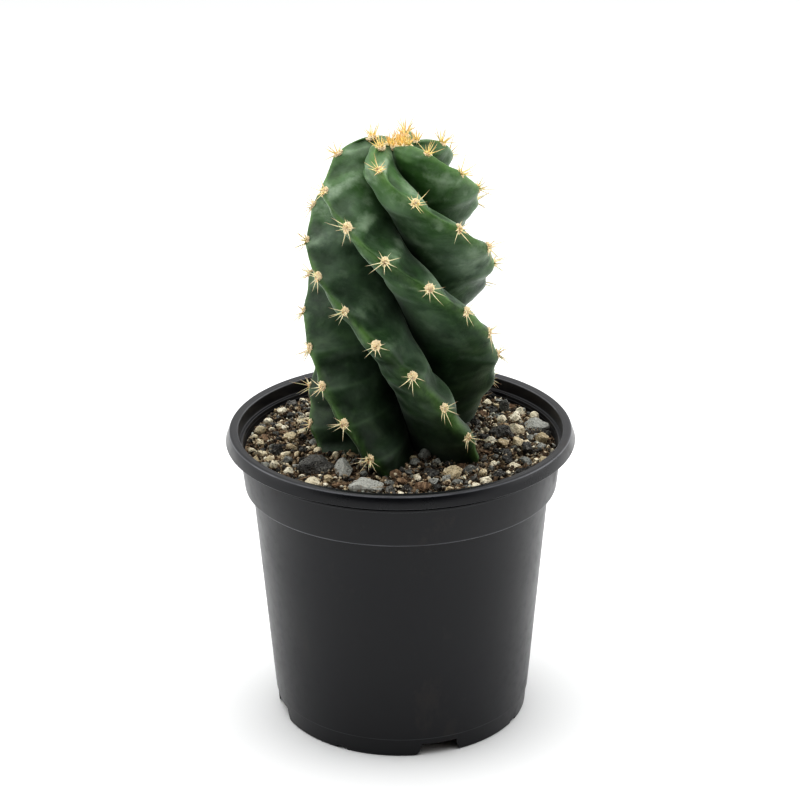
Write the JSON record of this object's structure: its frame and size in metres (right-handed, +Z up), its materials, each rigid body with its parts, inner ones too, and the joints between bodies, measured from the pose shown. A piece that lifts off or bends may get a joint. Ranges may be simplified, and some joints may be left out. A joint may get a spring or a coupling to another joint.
{
  "type": "potted spiral cactus",
  "caption": "Short columnar cactus with ribs that wind in a spiral and spiny areoles, growing in gritty potting mix in a round black plastic nursery pot.",
  "frame": {"origin": "middle of the pot's foot ring, on the surface that the pot stands on", "axes": "+Z up along the pot's axis, -Y towards the side that the picture shows, +X to the right seen from that side"},
  "size_m": [0.12, 0.12, 0.2125],
  "materials": {
    "pot_plastic": "satin black",
    "potting_mix": "rough and gritty",
    "cactus_skin": "waxy satin with a pale bloom",
    "dark_stone": "rough and pitted",
    "grey_stone": "matte",
    "cream_stone": "porous and matte",
    "bark": "fibrous and matte"
  },
  "bodies": {
    "root": {"pot": "pot_plastic", "soil": "potting_mix", "stem": "cactus_skin", "stone_lava_left": "dark_stone", "stone_lava_right": "dark_stone", "stone_dark_front": "dark_stone", "stone_oval_grey": "grey_stone", "stone_flat_pale": "grey_stone", "stone_flat_grey": "grey_stone", "stone_tall_slate": "grey_stone", "stone_cream_left": "cream_stone", "stone_cream_right": "cream_stone", "stone_porous_front": "cream_stone", "bark_chip_front": "bark"}
  },
  "joints": []
}
